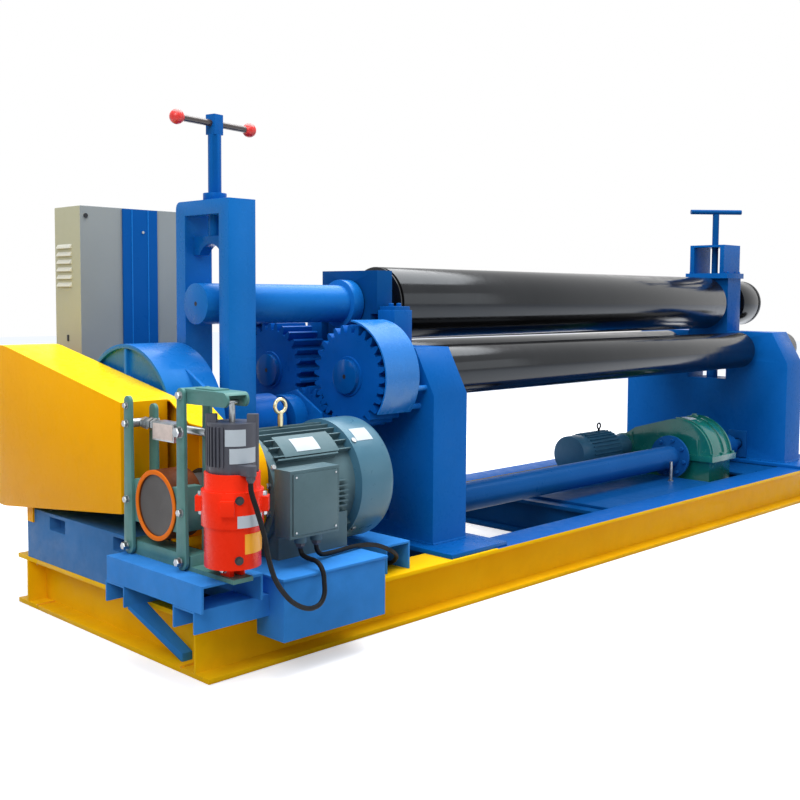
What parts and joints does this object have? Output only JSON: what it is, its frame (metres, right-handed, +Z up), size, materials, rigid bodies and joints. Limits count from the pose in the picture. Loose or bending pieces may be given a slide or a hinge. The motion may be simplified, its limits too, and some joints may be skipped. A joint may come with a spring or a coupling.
{
  "type": "plate rolling machine",
  "caption": "Floor-standing plate rolling machine: a raised driven roll above two geared lower rolls between two stands, with motor, shoe brake, belt guard and lift drive on one welded base",
  "frame": {"origin": "on the floor under the upper roll's axis, halfway along the base, on the underside of the middle cross beam", "axes": "+X runs along the rolls towards the tip end, +Y towards the rear, +Z up"},
  "size_m": [4.33, 1.6208, 1.648],
  "materials": {
    "base_paint": "satin ochre enamel on rolled steel",
    "blue_paint": "semi-gloss blue enamel on steel plate",
    "guard_paint": "satin yellow enamel on sheet steel",
    "brake_paint": "grey-green enamel",
    "thruster_paint": "gloss red enamel",
    "black_plastic": "ribbed black moulding",
    "steel": "bare machined steel",
    "motor_paint": "grey-blue enamel on cast iron",
    "lifting_steel": "yellow-passivated steel",
    "green_paint": "gloss green enamel on cast iron",
    "cabinet_paint": "fine-textured grey powder coat",
    "roll_steel": "gloss black coated forged steel",
    "drum_iron": "red oxide on cast iron",
    "dark_steel": "dark oxide steel",
    "cable_rubber": "black rubber sheath"
  },
  "bodies": {
    "frame": {"front_rail": "base_paint", "rear_rail": "base_paint", "end_beams": "base_paint", "cross_beams": "blue_paint", "deck_plate": "blue_paint", "drive_stand": "blue_paint", "tip_stand": "blue_paint", "guide_posts": "blue_paint", "reducer_plinth": "blue_paint", "reducer_base": "blue_paint", "reducer_cover": "blue_paint", "belt_guard": "guard_paint", "brake_bracket": "blue_paint", "brake_beam": "blue_paint", "brake_base": "brake_paint", "thruster_body": "thruster_paint", "thruster_head": "black_plastic", "motor_plinth": "blue_paint", "motor_rail": "blue_paint", "motor_barrel": "motor_paint", "motor_cowl": "motor_paint", "motor_terminal_box": "motor_paint", "lifting_eyes": "lifting_steel", "gear_guard": "blue_paint", "pinion_pedestal": "blue_paint", "pinion_cover": "blue_paint", "tail_portal": "blue_paint", "screw_collar": "blue_paint", "lift_motor": "motor_paint", "lift_reducer": "green_paint", "shaft_plates": "blue_paint", "cabinet": "cabinet_paint", "cabinet_band": "blue_paint", "cabinet_bracket": "blue_paint", "brake_cable": "cable_rubber", "motor_cable": "cable_rubber"},
    "upper_carriage": {"drive_block": "blue_paint", "tip_yoke": "blue_paint", "tip_box": "blue_paint"},
    "upper_roll_unit": {"upper_roll": "roll_steel", "roll_tail": "blue_paint"},
    "front_roll_unit": {"front_roll": "roll_steel", "front_gear": "blue_paint"},
    "rear_roll_unit": {"rear_roll": "roll_steel", "rear_gear": "blue_paint"},
    "pinion_unit": {"drive_pinion": "steel"},
    "motor_rotor": {"brake_drum": "drum_iron", "motor_pulley": "steel"},
    "front_brake_unit": {"front_brake_arm": "brake_paint"},
    "rear_brake_unit": {"rear_brake_arm": "brake_paint", "brake_tie_rod": "steel"},
    "brake_lever_unit": {"brake_lever": "brake_paint"},
    "thruster_plunger": {"thruster_rod": "steel"},
    "saddle_unit": {"tail_saddle": "blue_paint"},
    "tail_screw_unit": {"tail_screw": "blue_paint", "tail_handle": "dark_steel"},
    "tip_handle_unit": {"tip_handle": "blue_paint"},
    "lift_shaft_unit": {"cross_shaft": "blue_paint"}
  },
  "joints": [
    {"name": "upper_roll_lift", "type": "slide", "parent": "frame", "child": "upper_carriage", "axis": [0, 0, 1], "range_m": [-0.11, 0.03]},
    {"name": "upper_roll_spin", "type": "hinge", "parent": "upper_carriage", "child": "upper_roll_unit", "pos_m": [0, 0, 1.026], "axis": [1, 0, 0], "continuous": true},
    {"name": "front_roll_spin", "type": "hinge", "parent": "frame", "child": "front_roll_unit", "pos_m": [0, -0.216, 0.775], "axis": [1, 0, 0], "continuous": true},
    {"name": "rear_roll_spin", "type": "hinge", "parent": "frame", "child": "rear_roll_unit", "pos_m": [0, 0.216, 0.775], "axis": [1, 0, 0], "continuous": true},
    {"name": "pinion_spin", "type": "hinge", "parent": "frame", "child": "pinion_unit", "pos_m": [-1.5, 0, 0.613], "axis": [1, 0, 0], "continuous": true},
    {"name": "motor_spin", "type": "hinge", "parent": "frame", "child": "motor_rotor", "pos_m": [-2, -0.376, 0.465], "axis": [1, 0, 0], "continuous": true},
    {"name": "front_brake_release", "type": "hinge", "parent": "frame", "child": "front_brake_unit", "pos_m": [-2.103, -0.51, 0.33], "axis": [1, 0, 0], "range_deg": [0, 1.2]},
    {"name": "rear_brake_release", "type": "hinge", "parent": "frame", "child": "rear_brake_unit", "pos_m": [-2.103, -0.242, 0.33], "axis": [-1, 0, 0], "range_deg": [0, 1.2]},
    {"name": "brake_lever_swing", "type": "hinge", "parent": "front_brake_unit", "child": "brake_lever_unit", "pos_m": [-2.103, -0.51, 0.785], "axis": [-1, 0, 0], "range_deg": [0, 6]},
    {"name": "thruster_stroke", "type": "slide", "parent": "frame", "child": "thruster_plunger", "axis": [0, 0, 1], "range_m": [0, 0.018]},
    {"name": "tail_saddle_slide", "type": "slide", "parent": "frame", "child": "saddle_unit", "axis": [0, 0, 1], "range_m": [-0.115, 0.03]},
    {"name": "tail_screw_turn", "type": "hinge", "parent": "saddle_unit", "child": "tail_screw_unit", "pos_m": [-1.666, 0, 1.5], "axis": [0, 0, 1], "range_deg": [-6900, 1800]},
    {"name": "tip_handle_turn", "type": "hinge", "parent": "upper_carriage", "child": "tip_handle_unit", "pos_m": [1.715, 0, 1.4], "axis": [0, 0, 1], "continuous": true},
    {"name": "lift_shaft_spin", "type": "hinge", "parent": "frame", "child": "lift_shaft_unit", "pos_m": [0, -0.2, 0.263], "axis": [1, 0, 0], "continuous": true}
  ],
  "couplings": [
    {"joint": "rear_roll_spin", "follows": "front_roll_spin", "ratio": 1},
    {"joint": "pinion_spin", "follows": "front_roll_spin", "ratio": -1.6471},
    {"joint": "rear_brake_release", "follows": "front_brake_release", "ratio": 1},
    {"joint": "brake_lever_swing", "follows": "front_brake_release", "ratio": 5},
    {"joint": "thruster_stroke", "follows": "front_brake_release", "m_per_rad": 0.8},
    {"joint": "tail_saddle_slide", "follows": "tail_screw_turn", "m_per_rad": 0.00095493}
  ]
}
